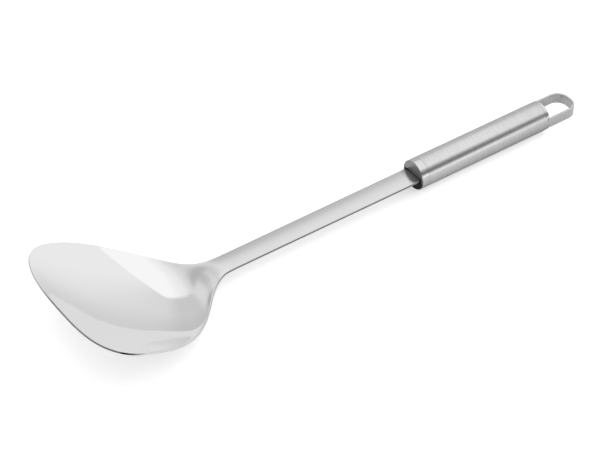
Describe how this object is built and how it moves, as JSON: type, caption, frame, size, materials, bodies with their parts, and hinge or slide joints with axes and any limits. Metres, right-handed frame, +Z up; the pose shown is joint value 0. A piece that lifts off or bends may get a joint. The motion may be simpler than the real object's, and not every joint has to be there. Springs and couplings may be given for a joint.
{
  "type": "wok spatula",
  "caption": "Stainless-steel wok spatula: dished blade pressed in one piece with a flat stem, round hollow handle with end caps and a strap hanging loop",
  "frame": {"origin": "bottom centre of the bounding box, on the table that the spatula lies on, halfway between the blade's tip and the end of the loop", "axes": "+X runs back along the handle to the hanging loop, so the blade is at -X; +Z is up, the side that the bowl opens to; Y is across the blade"},
  "size_m": [0.3646, 0.1064, 0.0347],
  "materials": {
    "polished_steel": "mirror-polished stainless sheet, satin along the stem",
    "satin_steel": "satin stainless tube, brushed round the circumference",
    "cap_steel": "turned stainless, finely satined rim and polished end face",
    "loop_steel": "tumbled stainless strap"
  },
  "bodies": {
    "root": {"blade_and_stem": "polished_steel", "front_cap": "cap_steel", "handle_tube": "satin_steel", "rear_cap": "cap_steel", "hanging_loop": "loop_steel"}
  },
  "joints": []
}
